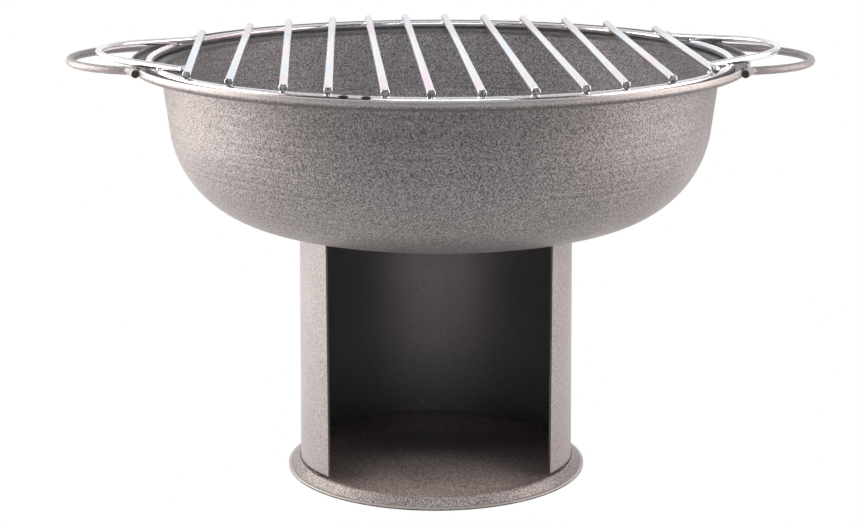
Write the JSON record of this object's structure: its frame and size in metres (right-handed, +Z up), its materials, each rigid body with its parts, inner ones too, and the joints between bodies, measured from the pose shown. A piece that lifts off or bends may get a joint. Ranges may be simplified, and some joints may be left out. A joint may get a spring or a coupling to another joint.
{
  "type": "charcoal grill",
  "caption": "Round charcoal grill: flanged spun-steel bowl on an open C-shaped pedestal and dished foot, rod side handles, and a loose rod grate that lifts off by its end loops.",
  "frame": {"origin": "on the floor, at the bowl's axis", "axes": "+Z up, +X towards one side handle, pedestal open towards -Y"},
  "size_m": [0.4382, 0.36, 0.2559],
  "materials": {
    "hammered_paint": "speckled hammered grey paint, satin",
    "zinc_plate": "bright zinc plate"
  },
  "bodies": {
    "stand": {"bowl": "hammered_paint", "pedestal": "hammered_paint", "base_disc": "hammered_paint", "handle_right": "hammered_paint", "handle_left": "hammered_paint"},
    "grate": {"grate_ring": "zinc_plate", "grate_loop_right": "zinc_plate", "grate_loop_left": "zinc_plate", "grate_bar_01": "zinc_plate", "grate_bar_02": "zinc_plate", "grate_bar_03": "zinc_plate", "grate_bar_04": "zinc_plate", "grate_bar_05": "zinc_plate", "grate_bar_06": "zinc_plate", "grate_bar_07": "zinc_plate", "grate_bar_08": "zinc_plate", "grate_bar_09": "zinc_plate", "grate_bar_10": "zinc_plate", "grate_bar_11": "zinc_plate", "grate_bar_12": "zinc_plate"}
  },
  "joints": [
    {"name": "grate_lift", "type": "slide", "parent": "stand", "child": "grate", "axis": [0, 0, 1], "range_m": [0, 0.12]}
  ]
}
